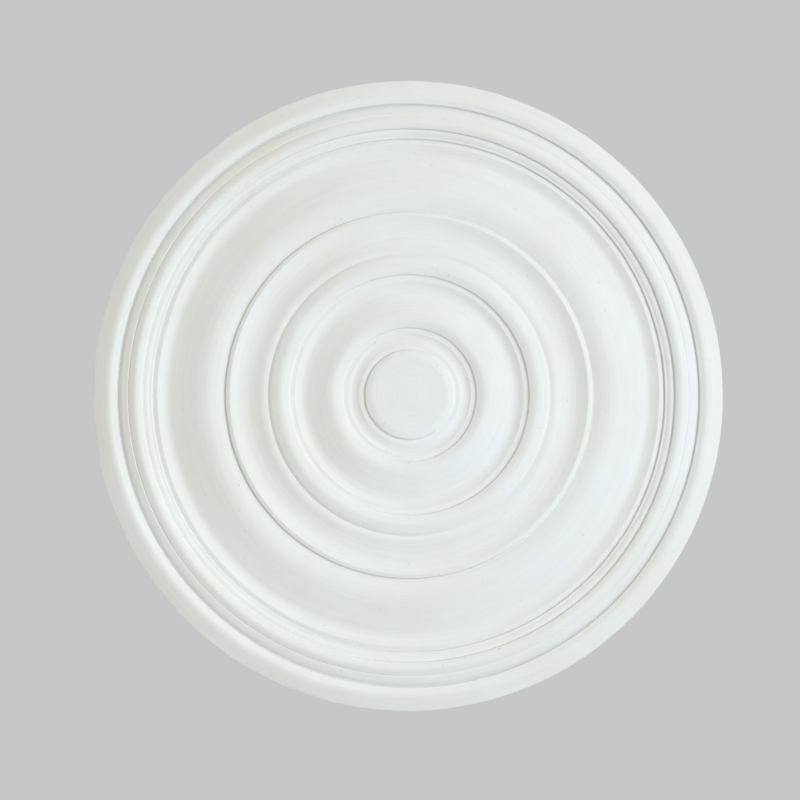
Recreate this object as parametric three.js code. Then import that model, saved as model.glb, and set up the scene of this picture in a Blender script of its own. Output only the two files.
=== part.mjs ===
// Ceiling rose, a round of spun plaster mouldings cast in one piece.
// Millimetres, +Z up. The flat back lies against the ceiling in the plane z = 0,
// with the origin at its centre, and the moulded face looks down.

import * as THREE from "three";

// Rim edge, a bevel that falls from the edge roll to the ceiling
const edgeHeight = 12;
const edgeBevelWidth = 13.8;
const edgeBevelDrop = 5.5;
const edgeRollWidth = 7;
const edgeRollDrop = 1.65;
const edgeRollSlope = 0.4;

// Band inside the edge roll, which falls to the quirk
const bandWidth = 4.6;
const bandRise = 1.05;
const bandSlope = 0.38;
const bandFootWidth = 2.8;
const bandFootRise = 0.55;
const quirkStepRise = 2.3;
const quirkWidth = 1;

// Crown of the rim, a flattened roll over a crease and a sloping fillet
const crownWallRun = 4.2;
const crownWallDrop = 3;
const crownFilletWidth = 7.3;
const crownFilletDrop = 2.55;
const crownCreaseWidth = 0.9;
const crownCreaseRise = 0.25;
const crownRiserRun = 0.9;
const crownRiserDrop = 0.9;
const crownFrontWidth = 8.6;
const crownFrontDrop = 2.85;
const crownFrontSlope = 0.38;
const crownBackWidth = 6.4;
const crownBackRise = 1.5;
const crownBackSlope = 0.33;

// Two small members between the lip and the crown, each over a sharp step
const rimStepRise = 2.6;
const beadLedgeWidth = 3.5;
const beadLedgeDrop = 0.4;
const beadWidth = 4.4;
const beadRise = 1.45;
const beadSlope = 0.5;
const beadTopSlope = 0.15;
const reedWidth = 2.6;
const reedRise = 0.1;

// Lip at the foot of the rim, next to the dome
const lipBevelWidth = 5.6;
const lipBevelDrop = 1.7;
const lipWidth = 11.2;
const lipRise = 2.7;
const lipSlope = 0.31;

// Dome, the broad swelling ring with the long straight slope
const domeFootWidth = 4.9;
const domeFootDrop = 0.8;
const domeSlopeWidth = 29.5;
const domeSlopeDrop = 9.65;
const domeCrestWidth = 17.2;
const domeCrestDrop = 3.25;
const domeCrestSlope = 0.325;
const domeBackWidth = 18;
const domeBackRise = 2.9;
const domeBackSlope = 0.26;

// Collar ring inside the dome
const collarWallRun = 1.2;
const collarWallDrop = 3.1;
const collarMarginWidth = 4.4;
const collarMarginDrop = 1.5;
const collarBackWidth = 16.9;
const collarBackRise = 3.65;
const collarBackSlope = 0.29;

// Middle ring, a torus over a fillet and a hollow
const middleHollowWidth = 19.5;
const middleHollowDrop = 3.95;
const middleHollowSlope = 0.33;
const middleArrisWidth = 3.8;
const middleArrisDrop = 0.68;
const middleFilletWidth = 5;
const middleFilletRise = 0.3;
const middleRiserRun = 3.3;
const middleRiserDrop = 2.1;
const middleFrontWidth = 11.7;
const middleFrontDrop = 3.1;
const middleFrontSlope = 0.32;
const middleBackWidth = 9.6;
const middleBackRise = 2.05;
const middleBackSlope = 0.29;
const middleLedgeWidth = 5.8;
const middleLedgeRise = 0.45;
const middleCoveWidth = 9.2;
const middleCoveRise = 2.7;
const middleCoveSlope = 0.42;

// Inner ring with its straight sweep down to the middle ring
const sweepFootWidth = 7.2;
const sweepFootDrop = 1.15;
const sweepWidth = 20.6;
const sweepDrop = 6.4;
const sweepCrestWidth = 8.3;
const sweepCrestDrop = 1.4;
const sweepSlope = 0.31;
const innerBackWidth = 10.5;
const innerBackRise = 2.5;
const innerBackSlope = 0.32;
const innerLedgeWidth = 5.8;
const innerLedgeRise = 0.45;
const innerCoveWidth = 5.4;
const innerCoveRise = 1.45;
const innerCoveSlope = 0.56;

// Centre plate that a light fitting covers
const plateFlatRadius = 44.6;
const plateMarginWidth = 7.3;
const plateMarginDrop = 1.7;
const plateWallRun = 1.9;
const plateWallDrop = 2.5;
const plateLedgeWidth = 5.2;
const plateLedgeDrop = 0.05;
const plateHollowWidth = 7.9;
const plateHollowDrop = 1.95;
const plateHollowSlope = 0.48;

// Sharp little steps that face the centre, with the slightly hollow ledges before two of them
const stepRun = 1.1;
const innerStepRise = 1.8;
const middleStepRise = 2.2;
const ledgeFallSlope = 0.12;
const ledgeRiseSlope = 0.28;

// Facets round the casting
const sectors = 72;

// A straight member of the profile, going outwards and dropping towards the ceiling
const straight = (width, drop) => [[width, drop]];

// A curved member that leaves and arrives at the slopes given, as a cubic cut into chords
function curved(width, drop, slopeIn, slopeOut, chords) {
  const steps = [];
  let lastX = 0;
  let lastDrop = 0;
  for (let i = 1; i <= chords; i += 1) {
    const t = i / chords;
    const u = 1 - t;
    const x = width * t;
    const handleIn = (slopeIn * width) / 3;
    const handleOut = drop - (slopeOut * width) / 3;
    const fallen = 3 * u * u * t * handleIn + 3 * u * t * t * handleOut + t * t * t * drop;
    steps.push([x - lastX, fallen - lastDrop]);
    lastX = x;
    lastDrop = fallen;
  }
  return steps;
}

// The members from the centre outwards, each a list of width and drop
const members = [
  straight(plateFlatRadius, 0),
  straight(plateMarginWidth, plateMarginDrop),
  straight(plateWallRun, plateWallDrop),
  straight(plateLedgeWidth, plateLedgeDrop),
  curved(plateHollowWidth, plateHollowDrop, plateHollowSlope, 0, 2),
  curved(innerCoveWidth, -innerCoveRise, 0, -innerCoveSlope, 2),
  curved(innerLedgeWidth, -innerLedgeRise, ledgeFallSlope, -ledgeRiseSlope, 2),
  straight(stepRun, -innerStepRise),
  curved(innerBackWidth, -innerBackRise, -innerBackSlope, 0, 2),
  curved(sweepCrestWidth, sweepCrestDrop, 0, sweepSlope, 2),
  straight(sweepWidth, sweepDrop),
  curved(sweepFootWidth, sweepFootDrop, sweepSlope, 0, 2),
  curved(middleCoveWidth, -middleCoveRise, 0, -middleCoveSlope, 2),
  curved(middleLedgeWidth, -middleLedgeRise, ledgeFallSlope, -ledgeRiseSlope, 2),
  straight(stepRun, -middleStepRise),
  curved(middleBackWidth, -middleBackRise, -middleBackSlope, 0, 2),
  curved(middleFrontWidth, middleFrontDrop, 0, middleFrontSlope, 2),
  straight(middleRiserRun, middleRiserDrop),
  straight(middleFilletWidth, -middleFilletRise),
  straight(middleArrisWidth, middleArrisDrop),
  curved(middleHollowWidth, middleHollowDrop, middleHollowSlope, 0, 2),
  curved(collarBackWidth, -collarBackRise, 0, -collarBackSlope, 2),
  straight(collarMarginWidth, collarMarginDrop),
  straight(collarWallRun, collarWallDrop),
  curved(domeBackWidth, -domeBackRise, -domeBackSlope, 0, 2),
  curved(domeCrestWidth, domeCrestDrop, 0, domeCrestSlope, 2),
  straight(domeSlopeWidth, domeSlopeDrop),
  curved(domeFootWidth, domeFootDrop, domeCrestSlope, 0, 2),
  curved(lipWidth, -lipRise, 0, -lipSlope, 2),
  straight(lipBevelWidth, lipBevelDrop),
  straight(stepRun, -rimStepRise),
  straight(reedWidth, -reedRise),
  curved(beadWidth, -beadRise, -beadSlope, -beadTopSlope, 2),
  straight(beadLedgeWidth, beadLedgeDrop),
  straight(stepRun, -rimStepRise),
  curved(crownBackWidth, -crownBackRise, -crownBackSlope, 0, 2),
  curved(crownFrontWidth, crownFrontDrop, 0, crownFrontSlope, 2),
  straight(crownRiserRun, crownRiserDrop),
  straight(crownCreaseWidth, -crownCreaseRise),
  straight(crownFilletWidth, crownFilletDrop),
  straight(crownWallRun, crownWallDrop),
  straight(quirkWidth, 0),
  straight(stepRun, -quirkStepRise),
  straight(bandFootWidth, -bandFootRise),
  curved(bandWidth, -bandRise, -bandSlope, 0, 2),
  curved(edgeRollWidth, edgeRollDrop, 0, edgeRollSlope, 2),
  straight(edgeBevelWidth, edgeBevelDrop),
];

// Closed half section, from the lowest point on the axis out to the edge and back along the ceiling
function section() {
  const steps = members.flat();
  const totalDrop = steps.reduce((sum, step) => sum + step[1], 0);
  let radius = 0;
  let height = edgeHeight + totalDrop;
  const points = [new THREE.Vector2(0, -height)];
  for (const [width, drop] of steps) {
    radius += width;
    height -= drop;
    points.push(new THREE.Vector2(radius, -height));
  }
  points.push(new THREE.Vector2(radius, 0));
  points.push(new THREE.Vector2(0, 0));
  return points;
}

// The lathe turns about Y, so it is stood up on Z
const castingGeometry = new THREE.LatheGeometry(section(), sectors);
castingGeometry.rotateX(Math.PI / 2);

const casting = new THREE.Mesh(
  castingGeometry,
  new THREE.MeshStandardMaterial({ color: 0xe7ebea, roughness: 0.92, metalness: 0 }),
);
casting.name = "rose_casting";

const rose = new THREE.Group();
rose.name = "ceiling_rose";
rose.add(casting);

export default rose;
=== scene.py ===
"""Looks for a round plaster ceiling rose, seen from below as it hangs on its ceiling.

The frame has the flat back in the plane z = 0 and the moulded face looking down. The rose is run,
or turned, from one section, so its shape is that section carried round the axis.
"""

import math

import bpy
from mathutils import Matrix, Vector


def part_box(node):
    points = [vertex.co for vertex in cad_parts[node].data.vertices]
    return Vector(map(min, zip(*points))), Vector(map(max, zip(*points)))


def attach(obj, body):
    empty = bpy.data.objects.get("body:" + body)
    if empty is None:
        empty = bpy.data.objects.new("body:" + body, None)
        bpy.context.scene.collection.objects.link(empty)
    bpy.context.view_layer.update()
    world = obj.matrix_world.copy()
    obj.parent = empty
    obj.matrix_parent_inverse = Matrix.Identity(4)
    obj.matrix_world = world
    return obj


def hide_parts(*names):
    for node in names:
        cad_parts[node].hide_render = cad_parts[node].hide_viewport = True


bl_info = {
    "name": "Plaster ceiling rose",
    "version": (1, 0, 0),
    "blender": (4, 5, 0),
    "location": "3D View > Sidebar > Rose",
    "description": "Runs a round plaster ceiling rose from its section and lights it",
    "category": "Add Mesh",
}

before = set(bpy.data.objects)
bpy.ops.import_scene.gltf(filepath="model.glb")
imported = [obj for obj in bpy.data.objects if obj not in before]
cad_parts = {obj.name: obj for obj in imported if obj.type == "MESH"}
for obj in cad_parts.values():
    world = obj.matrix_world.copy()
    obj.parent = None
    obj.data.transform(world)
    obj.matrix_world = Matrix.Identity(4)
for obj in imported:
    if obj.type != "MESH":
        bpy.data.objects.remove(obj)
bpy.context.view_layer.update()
CASTING_NODE = "rose_casting"
CASTING_LOW, CASTING_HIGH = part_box(CASTING_NODE)
MM = 0.001

# A point of the section this near z = 0 lies on the ceiling
ON_CEILING = 0.001 * MM

# A corner that turns by less than this belongs to a curve and is left as it is
SHARP = math.radians(14)

# The share of a short member that the easing of its corner may take
EASING_SHARE = 0.42

# Longest step along a curved member
CURVE_STEP = 2.1 * MM

# How far to each side a crease is measured, the depth at which the dust and painted shade fill it, and how
# they thin
CREASE_REACH = 6 * MM
CREASE_DEPTH = 3.5 * MM
CREASE_SHADE_FADE = 1.6

# The noise above which an arris is rubbed, and how fast the wear grows from there
WEAR_FROM = 0.42
WEAR_GAIN = 2.5

# Where the cooler plaster of the centre plate starts to fade, where it ends, and its share
PLATE_FADE_START = 46 * MM
PLATE_FADE_END = 60 * MM
PLATE_COOLNESS = 0.4

# Drag lines in a metre of section, how much the height shifts them, and how often they change in a turn
DRAG_LINES = 420
DRAG_LEAN = 0.8
DRAG_CHANGES = 1.6

# No drag line is nearer to the axis than this
AXIS_GUARD = 4 * MM

# Depth of the marks in the surface, before the strength of each is taken
MARK_DEPTH = 0.6 * MM

# The point of the rose that the lights look at
LIT_POINT = Vector((0, 0, -20 * MM))


def length(label, millimetres, words):
    """A length property, given in millimetres and kept in metres."""
    return bpy.props.FloatProperty(
        name=label, description=words, default=millimetres * MM, min=0.0, precision=5,
        subtype="DISTANCE", unit="LENGTH")


def angle(label, degrees, words):
    """An angle property, given in degrees and kept in radians."""
    return bpy.props.FloatProperty(
        name=label, description=words, default=math.radians(degrees), subtype="ANGLE", unit="ROTATION")


def slope(label, value, words):
    """A slope property, drop over run."""
    return bpy.props.FloatProperty(name=label, description=words, default=value, precision=3)


def amount(label, value, words, top=1.0):
    """A plain share or strength."""
    return bpy.props.FloatProperty(
        name=label, description=words, default=value, min=0.0, max=top, precision=3)


def colour(label, value, words):
    """A colour in linear light."""
    return bpy.props.FloatVectorProperty(
        name=label, description=words, default=value, size=3, min=0.0, max=1.0, subtype="COLOR")


class RimSizes(bpy.types.PropertyGroup):
    """Sizes of the rim, from the edge in to the dome."""

    edge_height: length("Edge height", 12, "Thickness at the edge")
    edge_bevel_width: length("Edge bevel width", 13.8, "Width of the edge bevel")
    edge_bevel_drop: length("Edge bevel drop", 5.5, "Height lost over the edge bevel")
    edge_roll_width: length("Edge roll width", 7, "Width of the edge roll")
    edge_roll_drop: length("Edge roll drop", 1.65, "Height lost over the edge roll")
    edge_roll_slope: slope("Edge roll slope", 0.4, "Slope at the steep end of the edge roll")
    band_width: length("Band width", 4.6, "Width of the band")
    band_rise: length("Band rise", 1.05, "Height gained over the band")
    band_slope: slope("Band slope", 0.38, "Slope at the steep end of the band")
    band_foot_width: length("Band foot width", 2.8, "Width of the band foot")
    band_foot_rise: length("Band foot rise", 0.55, "Height gained over the band foot")
    quirk_step_rise: length("Quirk step rise", 2.3, "Height gained over the step after the quirk")
    quirk_width: length("Quirk width", 1, "Width of the quirk")
    crown_wall_run: length("Crown wall run", 4.2, "Width of the crown wall")
    crown_wall_drop: length("Crown wall drop", 3, "Height lost over the crown wall")
    crown_fillet_width: length("Crown fillet width", 7.3, "Width of the crown fillet")
    crown_fillet_drop: length("Crown fillet drop", 2.55, "Height lost over the crown fillet")
    crown_crease_width: length("Crown crease width", 0.9, "Width of the crown crease")
    crown_crease_rise: length("Crown crease rise", 0.25, "Height gained over the crown crease")
    crown_riser_run: length("Crown riser run", 0.9, "Width of the crown riser")
    crown_riser_drop: length("Crown riser drop", 0.9, "Height lost over the crown riser")
    crown_front_width: length("Crown front width", 8.6, "Width of the crown front")
    crown_front_drop: length("Crown front drop", 2.85, "Height lost over the crown front")
    crown_front_slope: slope("Crown front slope", 0.38, "Slope at the steep end of the crown front")
    crown_back_width: length("Crown back width", 6.4, "Width of the crown back")
    crown_back_rise: length("Crown back rise", 1.5, "Height gained over the crown back")
    crown_back_slope: slope("Crown back slope", 0.33, "Slope at the steep end of the crown back")
    rim_step_rise: length("Rim step rise", 2.6, "Height gained over each step of the rim")
    bead_ledge_width: length("Bead ledge width", 3.5, "Width of the bead ledge")
    bead_ledge_drop: length("Bead ledge drop", 0.4, "Height lost over the bead ledge")
    bead_width: length("Bead width", 4.4, "Width of the bead")
    bead_rise: length("Bead rise", 1.45, "Height gained over the bead")
    bead_slope: slope("Bead slope", 0.5, "Slope at the foot of the bead")
    bead_top_slope: slope("Bead top slope", 0.15, "Slope at the top of the bead")
    reed_width: length("Reed width", 2.6, "Width of the reed")
    reed_rise: length("Reed rise", 0.1, "Height gained over the reed")
    lip_bevel_width: length("Lip bevel width", 5.6, "Width of the lip bevel")
    lip_bevel_drop: length("Lip bevel drop", 1.7, "Height lost over the lip bevel")
    lip_width: length("Lip width", 11.2, "Width of the lip")
    lip_rise: length("Lip rise", 2.7, "Height gained over the lip")
    lip_slope: slope("Lip slope", 0.31, "Slope at the steep end of the lip")


class DomeSizes(bpy.types.PropertyGroup):
    """Sizes of the dome and of the collar inside it."""

    dome_foot_width: length("Dome foot width", 4.9, "Width of the dome foot")
    dome_foot_drop: length("Dome foot drop", 0.8, "Height lost over the dome foot")
    dome_slope_width: length("Dome slope width", 29.5, "Width of the dome slope")
    dome_slope_drop: length("Dome slope drop", 9.65, "Height lost over the dome slope")
    dome_crest_width: length("Dome crest width", 17.2, "Width of the dome crest")
    dome_crest_drop: length("Dome crest drop", 3.25, "Height lost over the dome crest")
    dome_crest_slope: slope("Dome crest slope", 0.325, "Slope where the dome slope starts and ends")
    dome_back_width: length("Dome back width", 18, "Width of the dome back")
    dome_back_rise: length("Dome back rise", 2.9, "Height gained over the dome back")
    dome_back_slope: slope("Dome back slope", 0.26, "Slope at the steep end of the dome back")
    collar_wall_run: length("Collar wall run", 1.2, "Width of the collar wall")
    collar_wall_drop: length("Collar wall drop", 3.1, "Height lost over the collar wall")
    collar_margin_width: length("Collar margin width", 4.4, "Width of the collar margin")
    collar_margin_drop: length("Collar margin drop", 1.5, "Height lost over the collar margin")
    collar_back_width: length("Collar back width", 16.9, "Width of the collar back")
    collar_back_rise: length("Collar back rise", 3.65, "Height gained over the collar back")
    collar_back_slope: slope("Collar back slope", 0.29, "Slope at the steep end of the collar back")


class RingSizes(bpy.types.PropertyGroup):
    """Sizes of the middle and inner rings, with the steps that all rings share."""

    middle_hollow_width: length("Middle hollow width", 19.5, "Width of the middle hollow")
    middle_hollow_drop: length("Middle hollow drop", 3.95, "Height lost over the middle hollow")
    middle_hollow_slope: slope("Middle hollow slope", 0.33, "Slope at the steep end of the middle hollow")
    middle_arris_width: length("Middle arris width", 3.8, "Width of the middle arris")
    middle_arris_drop: length("Middle arris drop", 0.68, "Height lost over the middle arris")
    middle_fillet_width: length("Middle fillet width", 5, "Width of the middle fillet")
    middle_fillet_rise: length("Middle fillet rise", 0.3, "Height gained over the middle fillet")
    middle_riser_run: length("Middle riser run", 3.3, "Width of the middle riser")
    middle_riser_drop: length("Middle riser drop", 2.1, "Height lost over the middle riser")
    middle_front_width: length("Middle front width", 11.7, "Width of the middle front")
    middle_front_drop: length("Middle front drop", 3.1, "Height lost over the middle front")
    middle_front_slope: slope("Middle front slope", 0.32, "Slope at the steep end of the middle front")
    middle_back_width: length("Middle back width", 9.6, "Width of the middle back")
    middle_back_rise: length("Middle back rise", 2.05, "Height gained over the middle back")
    middle_back_slope: slope("Middle back slope", 0.29, "Slope at the steep end of the middle back")
    middle_ledge_width: length("Middle ledge width", 5.8, "Width of the middle ledge")
    middle_ledge_rise: length("Middle ledge rise", 0.45, "Height gained over the middle ledge")
    middle_cove_width: length("Middle cove width", 9.2, "Width of the middle cove")
    middle_cove_rise: length("Middle cove rise", 2.7, "Height gained over the middle cove")
    middle_cove_slope: slope("Middle cove slope", 0.42, "Slope at the steep end of the middle cove")
    sweep_foot_width: length("Sweep foot width", 7.2, "Width of the sweep foot")
    sweep_foot_drop: length("Sweep foot drop", 1.15, "Height lost over the sweep foot")
    sweep_width: length("Sweep width", 20.6, "Width of the sweep")
    sweep_drop: length("Sweep drop", 6.4, "Height lost over the sweep")
    sweep_crest_width: length("Sweep crest width", 8.3, "Width of the sweep crest")
    sweep_crest_drop: length("Sweep crest drop", 1.4, "Height lost over the sweep crest")
    sweep_slope: slope("Sweep slope", 0.31, "Slope where the sweep starts and ends")
    inner_back_width: length("Inner back width", 10.5, "Width of the inner back")
    inner_back_rise: length("Inner back rise", 2.5, "Height gained over the inner back")
    inner_back_slope: slope("Inner back slope", 0.32, "Slope at the steep end of the inner back")
    inner_ledge_width: length("Inner ledge width", 5.8, "Width of the inner ledge")
    inner_ledge_rise: length("Inner ledge rise", 0.45, "Height gained over the inner ledge")
    inner_cove_width: length("Inner cove width", 5.4, "Width of the inner cove")
    inner_cove_rise: length("Inner cove rise", 1.45, "Height gained over the inner cove")
    inner_cove_slope: slope("Inner cove slope", 0.56, "Slope at the steep end of the inner cove")
    step_run: length("Step run", 1.1, "Width of each step")
    inner_step_rise: length("Inner step rise", 1.8, "Height gained over the inner step")
    middle_step_rise: length("Middle step rise", 2.2, "Height gained over the middle step")
    ledge_fall_slope: slope("Ledge fall slope", 0.12, "Slope at which a ledge starts to fall")
    ledge_rise_slope: slope("Ledge rise slope", 0.28, "Slope at which a ledge meets its step")


class PlateSizes(bpy.types.PropertyGroup):
    """Sizes of the centre plate that a light fitting covers."""

    plate_flat_radius: length("Plate flat radius", 44.6, "Radius of the plate flat")
    plate_margin_width: length("Plate margin width", 7.3, "Width of the plate margin")
    plate_margin_drop: length("Plate margin drop", 1.7, "Height lost over the plate margin")
    plate_wall_run: length("Plate wall run", 1.9, "Width of the plate wall")
    plate_wall_drop: length("Plate wall drop", 2.5, "Height lost over the plate wall")
    plate_ledge_width: length("Plate ledge width", 5.2, "Width of the plate ledge")
    plate_ledge_drop: length("Plate ledge drop", 0.05, "Height lost over the plate ledge")
    plate_hollow_width: length("Plate hollow width", 7.9, "Width of the plate hollow")
    plate_hollow_drop: length("Plate hollow drop", 1.95, "Height lost over the plate hollow")
    plate_hollow_slope: slope("Plate hollow slope", 0.48, "Slope at the steep end of the plate hollow")


class SurfaceSizes(bpy.types.PropertyGroup):
    """How finely the surface is cut, and how the hand shows in it."""

    sectors: bpy.props.IntProperty(
        name="Sectors", description="Divisions round the axis", default=276, min=12)
    arris: length("Arris", 0.3, "Radius left on the sharp edges by the knife")
    corner: length("Inner corner", 0.35, "Radius left in the inner corners")
    longest: length("Longest step", 3.6, "Longest step along the moulded face")
    longest_back: length("Longest back step", 13, "Longest step along the flat back")
    wander: length("Wander", 0.22, "Depth of the face's slow unevenness")
    wander_size: length("Wander size", 75, "Size of the face's slow unevenness")
    back_wander: length("Back wander", 0.9, "Depth of the unevenness of the struck back")
    wear: length("Arris wear", 0.55, "Most that is rubbed off the sharp arrises")
    wear_size: length("Wear size", 16, "Size of the worn places")
    wear_reach: length("Wear reach", 1.3, "How far the wear reaches from an arris")
    seed: bpy.props.IntProperty(name="Seed", description="Picks the unevenness", default=7)


class PlasterLook(bpy.types.PropertyGroup):
    """Colours and marks of the bare plaster."""

    pale: colour("Pale plaster", (0.806, 0.841, 0.840), "Plaster where it is cleanest")
    # Pale crumbs: clean plaster, with a painted highlight on each
    crumb: colour("Crumb", (0.900, 0.910, 0.900), "Small raised crumbs of clean plaster")
    warm: colour("Warm plaster", (0.786, 0.790, 0.752), "Plaster where it has yellowed a little")
    cool: colour("Cool plaster", (0.800, 0.840, 0.865), "Plaster of the centre plate, the least yellowed")
    # Dark colour for dust and for the painted shade in the creases and air holes; the drag lines use it too
    dust_and_shade: colour("Dust", (0.440, 0.472, 0.500), "Dust in the quirks")
    # How strongly the creases are darkened: dust and painted shade together
    dust_and_shade_share: amount("Dust share", 0.5, "How much dust lies in the quirks")
    drag: amount("Drag", 0.2, "Strength of the marks that the running mould leaves")
    grain: amount("Grain", 0.2, "Strength of the plaster's grain")
    # Strength of the air holes, both their dent and the painted shade inside them
    pits: amount("Pits", 0.4, "Strength of the small air holes")
    crumbs: amount("Crumbs", 0.6, "Strength of the small raised crumbs of plaster")
    roughness: amount("Roughness", 0.86, "Roughness of the dry surface")


class StageLook(bpy.types.PropertyGroup):
    """Camera, lights, backdrop and floor."""

    distance: length("Camera distance", 2200, "Camera to the rose")
    lean_down: angle("Lean down", 1.1, "Camera's lean towards the picture's foot")
    lean_left: angle("Lean left", 1.5, "Camera's lean towards the picture's left")
    view_width: length("View width", 951.5, "Width of the picture at the rim")
    aim_left: length("Aim left", 10.7, "Distance from the rose's centre to the picture's, leftwards")
    aim_down: length("Aim down", 5.9, "Distance from the rose's centre to the picture's, downwards")
    cool_key_power: amount("Cool key power", 625.0, "Watts of the cool key at the right", 50000)
    cool_key_tint: colour("Cool key tint", (0.606, 0.782, 1.0), "Colour of the cool key")
    warm_key_power: amount("Warm key power", 310.0, "Watts of the warm key at the upper right", 50000)
    warm_key_tint: colour("Warm key tint", (1.0, 0.857, 0.580), "Colour of the warm key")
    warm_key_turn: angle("Warm key turn", 45, "Turn of the warm key from the picture's right")
    key_off: angle("Key angle", 45, "Angle of the keys off the face's normal")
    key_distance: length("Key distance", 10000, "Keys to the rose")
    key_size: length("Key size", 4500, "Width of the keys")
    fill_power: amount("Fill power", 1.66, "Watts of the warm fill at the lower left", 5000)
    fill_tint: colour("Fill tint", (1.0, 0.930, 0.820), "Colour of the fill")
    fill_turn: angle("Fill turn", 225, "Turn of the fill from the picture's right")
    fill_off: angle("Fill angle", 35, "Angle of the fill off the face's normal")
    fill_distance: length("Fill distance", 1200, "Fill to the rose")
    fill_size: length("Fill size", 700, "Width of the fill")
    centre_power: amount("Centre light power", 0.066, "Watts of the small light below the centre", 50)
    centre_tint: colour("Centre light tint", (0.190, 0.450, 1.0), "Colour of the centre light")
    centre_distance: length("Centre light distance", 450, "Centre light to the rose")
    centre_size: length("Centre light size", 150, "Width of the centre light")
    below_power: amount("Light from below", 0.421, "Strength of the even light on the face", 10)
    below_tint: colour("Tint from below", (1.0, 0.904, 0.806), "Colour of the even light on the face")
    above_power: amount("Light from above", 0.77, "Strength of the even light on the back", 10)
    above_tint: colour("Tint from above", (1.0, 0.985, 0.965), "Colour of the even light on the back")
    backdrop: colour("Backdrop", (0.571, 0.571, 0.584), "Colour behind the rose")
    floor_colour: colour("Floor colour", (0.66, 0.66, 0.65), "Colour of the plain pale floor")
    floor_drop: length("Floor drop", 2600, "Ceiling to floor")
    floor_size: length("Floor size", 60000, "Side of the floor")


def curved(width, drop, slope_in, slope_out):
    """Steps of a curve that leaves and arrives at the slopes given, none wider than CURVE_STEP."""
    steps = max(4, math.ceil(width / CURVE_STEP))
    last = (0.0, 0.0)
    out = []
    for i in range(1, steps + 1):
        t = i / steps
        u = 1 - t
        handle_in = slope_in * width / 3
        handle_out = drop - slope_out * width / 3
        point = (width * t, 3 * u * u * t * handle_in + 3 * u * t * t * handle_out + t ** 3 * drop)
        out.append((point[0] - last[0], point[1] - last[1]))
        last = point
    return out


def straight(width, drop):
    """One straight step."""
    return [(width, drop)]


def members(rim, dome, ring, plate):
    """The mouldings from the centre outwards, each a list of width and drop towards the ceiling."""
    return [
        straight(plate.plate_flat_radius, 0),
        straight(plate.plate_margin_width, plate.plate_margin_drop),
        straight(plate.plate_wall_run, plate.plate_wall_drop),
        straight(plate.plate_ledge_width, plate.plate_ledge_drop),
        curved(plate.plate_hollow_width, plate.plate_hollow_drop, plate.plate_hollow_slope, 0),
        curved(ring.inner_cove_width, -ring.inner_cove_rise, 0, -ring.inner_cove_slope),
        curved(ring.inner_ledge_width, -ring.inner_ledge_rise, ring.ledge_fall_slope, -ring.ledge_rise_slope),
        straight(ring.step_run, -ring.inner_step_rise),
        curved(ring.inner_back_width, -ring.inner_back_rise, -ring.inner_back_slope, 0),
        curved(ring.sweep_crest_width, ring.sweep_crest_drop, 0, ring.sweep_slope),
        straight(ring.sweep_width, ring.sweep_drop),
        curved(ring.sweep_foot_width, ring.sweep_foot_drop, ring.sweep_slope, 0),
        curved(ring.middle_cove_width, -ring.middle_cove_rise, 0, -ring.middle_cove_slope),
        curved(
            ring.middle_ledge_width, -ring.middle_ledge_rise, ring.ledge_fall_slope, -ring.ledge_rise_slope),
        straight(ring.step_run, -ring.middle_step_rise),
        curved(ring.middle_back_width, -ring.middle_back_rise, -ring.middle_back_slope, 0),
        curved(ring.middle_front_width, ring.middle_front_drop, 0, ring.middle_front_slope),
        straight(ring.middle_riser_run, ring.middle_riser_drop),
        straight(ring.middle_fillet_width, -ring.middle_fillet_rise),
        straight(ring.middle_arris_width, ring.middle_arris_drop),
        curved(ring.middle_hollow_width, ring.middle_hollow_drop, ring.middle_hollow_slope, 0),
        curved(dome.collar_back_width, -dome.collar_back_rise, 0, -dome.collar_back_slope),
        straight(dome.collar_margin_width, dome.collar_margin_drop),
        straight(dome.collar_wall_run, dome.collar_wall_drop),
        curved(dome.dome_back_width, -dome.dome_back_rise, -dome.dome_back_slope, 0),
        curved(dome.dome_crest_width, dome.dome_crest_drop, 0, dome.dome_crest_slope),
        straight(dome.dome_slope_width, dome.dome_slope_drop),
        curved(dome.dome_foot_width, dome.dome_foot_drop, dome.dome_crest_slope, 0),
        curved(rim.lip_width, -rim.lip_rise, 0, -rim.lip_slope),
        straight(rim.lip_bevel_width, rim.lip_bevel_drop),
        straight(ring.step_run, -rim.rim_step_rise),
        straight(rim.reed_width, -rim.reed_rise),
        curved(rim.bead_width, -rim.bead_rise, -rim.bead_slope, -rim.bead_top_slope),
        straight(rim.bead_ledge_width, rim.bead_ledge_drop),
        straight(ring.step_run, -rim.rim_step_rise),
        curved(rim.crown_back_width, -rim.crown_back_rise, -rim.crown_back_slope, 0),
        curved(rim.crown_front_width, rim.crown_front_drop, 0, rim.crown_front_slope),
        straight(rim.crown_riser_run, rim.crown_riser_drop),
        straight(rim.crown_crease_width, -rim.crown_crease_rise),
        straight(rim.crown_fillet_width, rim.crown_fillet_drop),
        straight(rim.crown_wall_run, rim.crown_wall_drop),
        straight(rim.quirk_width, 0),
        straight(ring.step_run, -rim.quirk_step_rise),
        straight(rim.band_foot_width, -rim.band_foot_rise),
        curved(rim.band_width, -rim.band_rise, -rim.band_slope, 0),
        curved(rim.edge_roll_width, rim.edge_roll_drop, 0, rim.edge_roll_slope),
        straight(rim.edge_bevel_width, rim.edge_bevel_drop),
    ]


def corners(rim, dome, ring, plate):
    """The section's corners, from the axis out over the face, then back along the ceiling to the axis."""
    steps = [step for member in members(rim, dome, ring, plate) for step in member]
    radius = 0.0
    height = rim.edge_height + sum(drop for _, drop in steps)
    points = [Vector((0.0, -height))]
    for width, drop in steps:
        radius += width
        height -= drop
        points.append(Vector((radius, -height)))
    points.append(Vector((radius, 0.0)))
    points.append(Vector((0.0, 0.0)))
    return points


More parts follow.
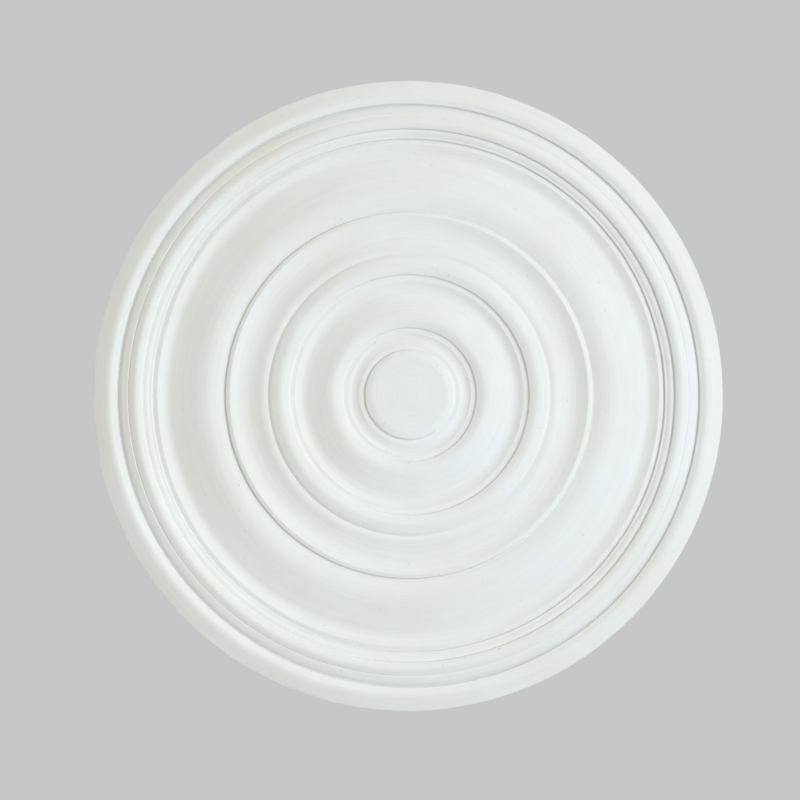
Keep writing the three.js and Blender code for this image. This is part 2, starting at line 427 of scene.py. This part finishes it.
def turn(a, b, c):
    """The section's turn at b, positive where the plaster stands out."""
    into, out = (b - a).normalized(), (c - b).normalized()
    return math.atan2(into.x * out.y - into.y * out.x, into.dot(out))


def eased(points, arris, corner):
    """The section with its sharp corners rounded, and a point left on each side to keep the flats flat."""
    out = [points[0]]
    for a, b, c in zip(points, points[1:], points[2:]):
        bend = turn(a, b, c)
        if abs(bend) < SHARP:
            out.append(b)
            continue
        radius = arris if bend > 0 else corner
        back, on = a - b, c - b
        reach = min(radius * math.tan(abs(bend) / 2), EASING_SHARE * min(back.length, on.length))
        guard = reach + min(reach * 0.9, 0.4 * MM)
        start, end = b + back.normalized() * reach, b + on.normalized() * reach
        if back.length > reach * 3:
            out.append(b + back.normalized() * guard)
        for t in (0, 1 / 3, 2 / 3, 1):
            out.append(start * (1 - t) ** 2 + b * (2 * t * (1 - t)) + end * t * t)
        if on.length > reach * 3:
            out.append(b + on.normalized() * guard)
    out.append(points[-1])
    return out


def divided(points, longest, longest_back):
    """The section with its long steps cut, finely on the face and coarsely on the back."""
    out = [points[0]]
    for a, b in zip(points, points[1:]):
        on_back = abs(a.y) < ON_CEILING and abs(b.y) < ON_CEILING
        limit = longest_back if on_back else longest
        cuts = max(1, math.ceil((b - a).length / limit))
        out += [a.lerp(b, i / cuts) for i in range(1, cuts + 1)]
    return out


def hollowness(points):
    """How deep each point lies in a crease, with the face standing out on both sides of it, from 0 to 1."""
    out = []
    for p in points:
        inner = [q.y for q in points if p.x - CREASE_REACH <= q.x <= p.x and q.y < 0]
        outer = [q.y for q in points if p.x <= q.x <= p.x + CREASE_REACH and q.y < 0]
        if not inner or not outer or p.y >= -ON_CEILING:
            out.append(0.0)
            continue
        below = min(p.y - min(inner), p.y - min(outer))
        out.append(max(0.0, min(1.0, below / CREASE_DEPTH)))
    return out


def sharpness(points, arrises, reach):
    """How near each point is to a sharp arris, from 0 to 1."""
    out = []
    for p in points:
        nearest = min((p - arris).length for arris in arrises)
        out.append(max(0.0, 1.0 - nearest / reach))
    return out


def section_object(name):
    """The section as a line of points, radius along X and height along Z, with its hollows marked."""
    rose = bpy.context.scene.rose
    surface = rose.surface
    points = corners(rose.rim, rose.dome, rose.ring, rose.plate)
    wide = max(p.x for p in points) - CASTING_HIGH[0]
    deep = points[0].y - CASTING_LOW[2]
    if max(abs(wide), abs(deep)) > 0.01 * MM:
        raise RuntimeError("the section and the CAD casting differ in size")
    arrises = [b for a, b, c in zip(points, points[1:], points[2:]) if turn(a, b, c) > SHARP and b.y < 0]
    points = eased(points, surface.arris, surface.corner)
    points = divided(points, surface.longest, surface.longest_back)
    mesh = bpy.data.meshes.new(name)
    mesh.from_pydata([(p.x, 0, p.y) for p in points], [(i, i + 1) for i in range(len(points) - 1)], [])
    for label, values in (
        ("hollow", hollowness(points)), ("arris", sharpness(points, arrises, surface.wear_reach)),
    ):
        mesh.attributes.new(label, "FLOAT", "POINT").data.foreach_set("value", values)
    obj = bpy.data.objects.new(name, mesh)
    bpy.context.scene.collection.objects.link(obj)
    return obj


class Nodes:
    """Adds and links nodes in one tree."""

    def __init__(self, tree):
        self.tree = tree

    def add(self, kind, values=None, **settings):
        """A new node with its settings made and its inputs fed."""
        node = self.tree.nodes.new(kind)
        for key, value in settings.items():
            setattr(node, key, value)
        for key, value in (values or {}).items():
            self.feed(node.inputs[key], value)
        return node

    def feed(self, socket, value):
        """Links a socket or a node's first output, or sets a plain value."""
        if isinstance(value, bpy.types.NodeSocket):
            self.tree.links.new(value, socket)
        elif isinstance(value, bpy.types.Node):
            self.tree.links.new(value.outputs[0], socket)
        else:
            socket.default_value = value

    def calc(self, operation, first, second=0.0):
        """One step of arithmetic."""
        return self.add("ShaderNodeMath", {0: first, 1: second}, operation=operation).outputs[0]

    def mixed(self, share, first, second):
        """Two colours mixed. Their sockets are the mix node's 6 and 7, and the result is its output 2."""
        return self.add("ShaderNodeMix", {"Factor": share, 6: first, 7: second}, data_type="RGBA").outputs[2]


def turning_tree():
    """Carries a section round the axis, closes the seam and poles, and lets the surface wander inwards."""
    tree = bpy.data.node_groups.new("Turned casting", "GeometryNodeTree")
    face = tree.interface
    for name, kind in (
        ("Section", "NodeSocketGeometry"), ("Section Points", "NodeSocketInt"), ("Sectors", "NodeSocketInt"),
        ("Wander", "NodeSocketFloat"), ("Wander Size", "NodeSocketFloat"), ("Back Wander", "NodeSocketFloat"),
        ("Wear", "NodeSocketFloat"), ("Wear Size", "NodeSocketFloat"), ("Seed", "NodeSocketInt"),
        ("Material", "NodeSocketMaterial"),
    ):
        face.new_socket(name=name, in_out="INPUT", socket_type=kind)
    face.new_socket(name="Casting", in_out="OUTPUT", socket_type="NodeSocketGeometry")
    n = Nodes(tree)
    given = n.add("NodeGroupInput").outputs
    columns = n.calc("ADD", given["Sectors"], 1)
    grid = n.add("GeometryNodeMeshGrid", {"Vertices X": columns, "Vertices Y": given["Section Points"]})
    index = n.add("GeometryNodeInputIndex").outputs[0]
    row = n.calc("FLOORED_MODULO", index, given["Section Points"])
    column = n.calc("FLOOR", n.calc("DIVIDE", n.calc("ADD", index, 0.5), given["Section Points"]))
    place = n.add("GeometryNodeSampleIndex", {
        "Geometry": given["Section"], "Value": n.add("GeometryNodeInputPosition"), "Index": row,
    }, data_type="FLOAT_VECTOR")
    marks = grid
    for label in ("hollow", "arris"):
        marked = n.add("GeometryNodeInputNamedAttribute", {"Name": label}, data_type="FLOAT")
        value = n.add("GeometryNodeSampleIndex", {
            "Geometry": given["Section"], "Value": marked.outputs[0], "Index": row,
        }, data_type="FLOAT")
        marks = n.add("GeometryNodeStoreNamedAttribute", {
            "Geometry": marks, "Name": label, "Value": value,
        }, data_type="FLOAT", domain="POINT")
    bearing = n.calc("MULTIPLY", n.calc("DIVIDE", column, given["Sectors"]), 2 * math.pi)
    split = n.add("ShaderNodeSeparateXYZ", {0: place})
    radius, height = split.outputs["X"], split.outputs["Z"]
    turned = n.add("ShaderNodeCombineXYZ", {
        "X": n.calc("MULTIPLY", radius, n.calc("COSINE", bearing)),
        "Y": n.calc("MULTIPLY", radius, n.calc("SINE", bearing)),
        "Z": height,
    })
    swept = n.add("GeometryNodeSetPosition", {"Geometry": marks, "Position": turned})
    closed = n.add("GeometryNodeMergeByDistance", {"Geometry": swept, "Distance": 0.02 * MM})
    here = n.add("GeometryNodeInputPosition").outputs[0]
    noise = n.add("ShaderNodeTexNoise", {
        "Vector": here, "W": given["Seed"],
        "Scale": n.calc("DIVIDE", 1.0, given["Wander Size"]), "Detail": 2.0,
    }, noise_dimensions="4D")
    worn = n.add("ShaderNodeTexNoise", {
        "Vector": here, "W": given["Seed"],
        "Scale": n.calc("DIVIDE", 1.0, given["Wear Size"]), "Detail": 3.0,
    }, noise_dimensions="4D")
    arris = n.add("GeometryNodeInputNamedAttribute", {"Name": "arris"}, data_type="FLOAT").outputs[0]
    rubbed = n.calc("MULTIPLY", n.calc("SUBTRACT", worn.outputs[0], WEAR_FROM), WEAR_GAIN)
    rubbed = n.calc("MAXIMUM", rubbed, 0.0)
    wear = n.calc("MULTIPLY", n.calc("MULTIPLY", rubbed, arris), given["Wear"])
    z = n.add("ShaderNodeSeparateXYZ", {0: here}).outputs["Z"]
    on_back = n.calc("GREATER_THAN", z, -0.01 * MM)
    depth = n.calc("ADD", given["Wander"],
                  n.calc("MULTIPLY", on_back, n.calc("SUBTRACT", given["Back Wander"], given["Wander"])))
    inward = n.calc("MULTIPLY", n.calc("ADD", n.calc("MULTIPLY", noise.outputs[0], depth), wear), -1.0)
    normal = n.add("GeometryNodeInputNormal").outputs[0]
    scale = n.add("ShaderNodeVectorMath", {0: normal}, operation="SCALE")
    n.feed(scale.inputs["Scale"], inward)
    worked = n.add("GeometryNodeSetPosition", {"Geometry": closed, "Offset": scale.outputs[0]})
    smooth = n.add("GeometryNodeSetShadeSmooth", {"Geometry": worked})
    whole = n.add("GeometryNodeRealizeInstances", {"Geometry": smooth})
    painted = n.add("GeometryNodeSetMaterial", {"Geometry": whole, "Material": given["Material"]})
    n.add("NodeGroupOutput", {"Casting": painted})
    return tree


def plain_mesh(obj, name):
    """The evaluated object as a plain mesh object, with the live one removed."""
    bpy.context.view_layer.update()
    ready = obj.evaluated_get(bpy.context.evaluated_depsgraph_get())
    mesh = bpy.data.meshes.new_from_object(ready)
    mesh.name = name
    made = bpy.data.objects.new(name, mesh)
    bpy.context.scene.collection.objects.link(made)
    bpy.data.objects.remove(obj)
    return made


def specks(n, spot, scale, rarity, least, spread):
    """Scattered round specks of mixed sizes, 1 inside a speck and 0 outside it."""
    cells = n.add("ShaderNodeTexVoronoi", {"Vector": spot, "Scale": scale}, feature="F1")
    chance = n.add("ShaderNodeSeparateColor", {0: cells.outputs["Color"]})
    chosen = n.calc("GREATER_THAN", chance.outputs[0], rarity)
    size = n.calc("ADD", least, n.calc("MULTIPLY", chance.outputs[1], spread))
    return n.calc("MULTIPLY", chosen, n.calc("LESS_THAN", cells.outputs["Distance"], size))


def plaster_material(look):
    """Dry bare plaster: faint mottling, drag marks along the run, grain, air holes darkened with painted
    shade, pale crumbs with a painted highlight, and dust with painted shade in the quirks and creases.
    """
    material = bpy.data.materials.new("bare_plaster")
    material.use_nodes = True
    tree = material.node_tree
    tree.nodes.clear()
    n = Nodes(tree)
    spot = n.add("ShaderNodeTexCoord").outputs["Object"]
    split = n.add("ShaderNodeSeparateXYZ", {0: spot})
    x, y, z = split.outputs
    radius = n.calc("SQRT", n.calc("ADD", n.calc("MULTIPLY", x, x), n.calc("MULTIPLY", y, y)))
    guarded = n.calc("MAXIMUM", radius, AXIS_GUARD)
    across = n.calc("SUBTRACT", radius, n.calc("MULTIPLY", z, DRAG_LEAN))
    along = n.add("ShaderNodeCombineXYZ", {
        "X": n.calc("MULTIPLY", across, DRAG_LINES),
        "Y": n.calc("MULTIPLY", n.calc("DIVIDE", x, guarded), DRAG_CHANGES),
        "Z": n.calc("MULTIPLY", n.calc("DIVIDE", y, guarded), DRAG_CHANGES),
    })
    drag = n.add("ShaderNodeTexNoise", {"Vector": along, "Scale": 1.0, "Detail": 3.0, "Roughness": 0.6})
    patch = n.add("ShaderNodeTexNoise", {"Vector": spot, "Scale": 7.0, "Detail": 3.0, "Roughness": 0.55})
    cloud = n.add("ShaderNodeTexNoise", {"Vector": spot, "Scale": 38.0, "Detail": 4.0, "Roughness": 0.6})
    grain = n.add("ShaderNodeTexNoise", {"Vector": spot, "Scale": 620.0, "Detail": 3.0, "Roughness": 0.7})
    hole = specks(n, spot, scale=150.0, rarity=0.80, least=0.05, spread=0.09)
    crumb = specks(n, spot, scale=200.0, rarity=0.72, least=0.07, spread=0.10)
    hollow = n.add("ShaderNodeAttribute", attribute_name="hollow").outputs["Fac"]
    tone = n.add("ShaderNodeMapRange", {"Value": patch.outputs[0], "From Min": 0.42, "From Max": 0.62})
    fine = n.add("ShaderNodeMapRange", {"Value": cloud.outputs[0], "From Min": 0.35, "From Max": 0.7})
    blend = n.calc("ADD", n.calc("MULTIPLY", tone.outputs[0], 0.55), n.calc("MULTIPLY", fine.outputs[0], 0.3))
    body = n.mixed(blend, (*look.pale, 1), (*look.warm, 1))
    on_plate = n.add("ShaderNodeMapRange", {
        "Value": radius, "From Min": PLATE_FADE_START, "From Max": PLATE_FADE_END,
        "To Min": PLATE_COOLNESS, "To Max": 0.0})
    body = n.mixed(on_plate.outputs[0], body, (*look.cool, 1))
    lines = n.add("ShaderNodeMapRange", {
        "Value": drag.outputs[0], "From Min": 0.3, "From Max": 0.7, "To Min": 0.0, "To Max": 0.10})
    lined = n.mixed(lines.outputs[0], body, (*look.dust_and_shade, 1))
    # Painted shade in the creases, along with dust: the deeper a point lies in a crease, the more it is
    # darkened
    deep = n.calc("POWER", hollow, CREASE_SHADE_FADE)
    crease_shade = n.calc("MULTIPLY", n.calc("MULTIPLY", deep, look.dust_and_shade_share),
                 n.calc("ADD", 0.6, n.calc("MULTIPLY", cloud.outputs[0], 0.8)))
    crease_shaded = n.mixed(crease_shade, lined, (*look.dust_and_shade, 1))
    # The air holes are darkened: painted shade inside the holes
    pit_shaded = n.mixed(n.calc("MULTIPLY", hole, look.pits), crease_shaded, (*look.dust_and_shade, 1))
    # The crumbs are painted paler: clean plaster and a painted highlight
    coloured = n.mixed(n.calc("MULTIPLY", crumb, look.crumbs), pit_shaded, (*look.crumb, 1))
    rough = n.add("ShaderNodeMapRange", {
        "Value": cloud.outputs[0], "From Min": 0.3, "From Max": 0.7,
        "To Min": look.roughness - 0.05, "To Max": look.roughness + 0.07})
    relief = n.calc("ADD", n.calc("MULTIPLY", drag.outputs[0], look.drag),
                   n.calc("MULTIPLY", grain.outputs[0], look.grain))
    relief = n.calc("SUBTRACT", relief, n.calc("MULTIPLY", hole, look.pits))
    relief = n.calc("ADD", relief, n.calc("MULTIPLY", crumb, look.crumbs))
    bump = n.add("ShaderNodeBump", {"Strength": 0.6, "Distance": MARK_DEPTH, "Height": relief})
    shader = n.add("ShaderNodeBsdfPrincipled", {
        "Base Color": coloured, "Roughness": rough.outputs[0], "Normal": bump})
    shader.inputs["Specular IOR Level"].default_value = 0.35
    n.add("ShaderNodeOutputMaterial", {"Surface": shader})
    return material


def floor_material(tint):
    """Plain pale floor."""
    material = bpy.data.materials.new("pale_floor")
    material.use_nodes = True
    shader = material.node_tree.nodes["Principled BSDF"]
    shader.inputs["Base Color"].default_value = (*tint, 1)
    shader.inputs["Roughness"].default_value = 0.9
    return material


class ROSE_OT_casting(bpy.types.Operator):
    """Run the plaster casting from its section"""

    bl_idname = "rose.casting"
    bl_label = "Plaster casting"

    def execute(self, context):
        rose = context.scene.rose
        section = section_object("section_line")
        material = plaster_material(rose.plaster)
        modifier = section.modifiers.new("Turned casting", "NODES")
        tree = turning_tree()
        modifier.node_group = tree
        surface = rose.surface
        given = {
            "Section Points": len(section.data.vertices), "Sectors": surface.sectors,
            "Wander": surface.wander, "Wander Size": surface.wander_size,
            "Back Wander": surface.back_wander, "Wear": surface.wear, "Wear Size": surface.wear_size,
            "Seed": surface.seed, "Material": material,
        }
        for item in tree.interface.items_tree:
            if item.in_out == "INPUT" and item.name in given:
                modifier[item.identifier] = given[item.name]
        casting = plain_mesh(section, "plaster_casting")
        if not casting.data.polygons:
            raise RuntimeError("the section made no faces")
        if volume(casting.data) < 0:
            casting.data.flip_normals()
        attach(casting, "root")
        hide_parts(CASTING_NODE)
        return {"FINISHED"}


def volume(mesh):
    """The mesh's signed volume, negative where its faces point inwards."""
    mesh.calc_loop_triangles()
    total = 0.0
    for triangle in mesh.loop_triangles:
        a, b, c = (mesh.vertices[i].co for i in triangle.vertices)
        total += a.dot(b.cross(c)) / 6
    return total


class ROSE_OT_stage(bpy.types.Operator):
    """Set the camera, lights, backdrop and floor"""

    bl_idname = "rose.stage"
    bl_label = "Camera, lights and floor"

    def execute(self, context):
        stage = context.scene.rose.stage
        scene = context.scene
        camera_to_rose(scene, stage, scene.rose.rim.edge_height)
        lights(scene, stage)
        sky(scene, stage)
        studio_floor(scene, stage)
        scene.view_settings.view_transform = "Standard"
        scene.view_settings.look = "None"
        return {"FINISHED"}


def studio_floor(scene, stage):
    """A square floor far below the rose, which the lights under it shine through."""
    half = stage.floor_size / 2
    z = -stage.floor_drop
    mesh = bpy.data.meshes.new("studio_floor")
    mesh.from_pydata(
        [(-half, -half, z), (half, -half, z), (half, half, z), (-half, half, z)], [], [(0, 1, 2, 3)])
    mesh.materials.append(floor_material(stage.floor_colour))
    floor = bpy.data.objects.new("studio_floor", mesh)
    floor.visible_shadow = False
    floor.visible_diffuse = False
    scene.collection.objects.link(floor)
    return floor


def looking(place, target, up):
    """A matrix at place whose -Z looks at target, with up upwards in the picture."""
    back = (place - target).normalized()
    right = up.cross(back).normalized()
    turned = Matrix((right, back.cross(right), back)).transposed()
    return Matrix.Translation(place) @ turned.to_4x4()


def camera_to_rose(scene, stage, rim_height):
    """The camera under the rose, looking up, with +X to the picture's right and -Y to its top."""
    data = bpy.data.cameras.new("camera")
    place = Vector((-math.tan(stage.lean_left), math.tan(stage.lean_down), -1.0)) * stage.distance
    target = Vector((-stage.aim_left, stage.aim_down, -rim_height))
    data.sensor_width = 36
    data.lens = data.sensor_width * (place - target).length / stage.view_width
    data.clip_end = 50
    camera = bpy.data.objects.new("camera", data)
    camera.matrix_world = looking(place, target, Vector((0, -1, 0)))
    scene.collection.objects.link(camera)
    scene.camera = camera


def area_light(scene, name, turned, off, distance, size, power, tint):
    """A round light that looks at the rose from off the face's normal, turned from the picture's right."""
    aside = math.sin(off)
    place = Vector((aside * math.cos(turned), -aside * math.sin(turned), -math.cos(off))) * distance
    data = bpy.data.lights.new(name, "AREA")
    data.shape = "DISK"
    data.size = size
    data.energy = power
    data.color = tint
    lamp = bpy.data.objects.new(name, data)
    lamp.visible_camera = False
    lamp.matrix_world = looking(place, LIT_POINT, Vector((0, -1, 0.01)))
    scene.collection.objects.link(lamp)


def lights(scene, stage):
    """Two soft keys from the picture's right and upper right, a weak fill, and a weak centre light."""
    key = stage.key_off, stage.key_distance, stage.key_size
    fill = stage.fill_off, stage.fill_distance, stage.fill_size
    centre = 0.0, stage.centre_distance, stage.centre_size
    area_light(scene, "cool_key", 0.0, *key, stage.cool_key_power, stage.cool_key_tint)
    area_light(scene, "warm_key", stage.warm_key_turn, *key, stage.warm_key_power, stage.warm_key_tint)
    area_light(scene, "warm_fill", stage.fill_turn, *fill, stage.fill_power, stage.fill_tint)
    area_light(scene, "centre_light", 0.0, *centre, stage.centre_power, stage.centre_tint)


def sky(scene, stage):
    """Even light, warm from below and neutral from above, with a plain backdrop for the camera alone."""
    world = bpy.data.worlds.new("even_light")
    world.use_nodes = True
    tree = world.node_tree
    tree.nodes.clear()
    n = Nodes(tree)
    way = n.add("ShaderNodeSeparateXYZ", {0: n.add("ShaderNodeTexCoord").outputs["Generated"]})
    above = n.calc("GREATER_THAN", way.outputs["Z"], 0.0)
    warm = n.add("ShaderNodeBackground", {"Color": (*stage.below_tint, 1), "Strength": stage.below_power})
    neutral = n.add("ShaderNodeBackground", {"Color": (*stage.above_tint, 1), "Strength": stage.above_power})
    light = n.add("ShaderNodeMixShader", {0: above, 1: warm, 2: neutral})
    seen = n.add("ShaderNodeBackground", {"Color": (*stage.backdrop, 1), "Strength": 1.0})
    ray = n.add("ShaderNodeLightPath").outputs["Is Camera Ray"]
    both = n.add("ShaderNodeMixShader", {0: ray, 1: light, 2: seen})
    n.add("ShaderNodeOutputWorld", {"Surface": both})
    scene.world = world


class RoseSettings(bpy.types.PropertyGroup):
    """Everything that can be set on the rose and its stage."""

    rim: bpy.props.PointerProperty(type=RimSizes, name="Rim", description="Sizes of the rim")
    dome: bpy.props.PointerProperty(type=DomeSizes, name="Dome", description="Sizes of the dome and collar")
    ring: bpy.props.PointerProperty(type=RingSizes, name="Rings", description="Sizes of the two rings")
    plate: bpy.props.PointerProperty(type=PlateSizes, name="Plate", description="Sizes of the centre plate")
    surface: bpy.props.PointerProperty(type=SurfaceSizes, name="Surface", description="Cut and unevenness")
    plaster: bpy.props.PointerProperty(type=PlasterLook, name="Plaster", description="Colours and marks")
    stage: bpy.props.PointerProperty(type=StageLook, name="Stage", description="Camera, lights and floor")


class ROSE_PT_panel(bpy.types.Panel):
    """Sizes, looks and steps of the rose"""

    bl_idname = "ROSE_PT_panel"
    bl_label = "Plaster ceiling rose"
    bl_space_type = "VIEW_3D"
    bl_region_type = "UI"
    bl_category = "Rose"

    def draw(self, context):
        rose = context.scene.rose
        for group in (rose.rim, rose.dome, rose.ring, rose.plate, rose.surface, rose.plaster, rose.stage):
            box = self.layout.box()
            for name in group.__annotations__:
                box.prop(group, name)
        for step in OPERATORS:
            self.layout.operator(step.bl_idname)


GROUPS = (RimSizes, DomeSizes, RingSizes, PlateSizes, SurfaceSizes, PlasterLook, StageLook, RoseSettings)
OPERATORS = (ROSE_OT_casting, ROSE_OT_stage)


def register():
    """Adds the classes and the scene's settings."""
    for kind in (*GROUPS, *OPERATORS, ROSE_PT_panel):
        bpy.utils.register_class(kind)
    bpy.types.Scene.rose = bpy.props.PointerProperty(type=RoseSettings)


def unregister():
    """Takes the settings and the classes away again."""
    del bpy.types.Scene.rose
    for kind in reversed((*GROUPS, *OPERATORS, ROSE_PT_panel)):
        bpy.utils.unregister_class(kind)


def main():
    """Makes the rose and its stage."""
    register()
    bpy.ops.rose.casting()
    bpy.ops.rose.stage()


if __name__ == "__main__":
    main()
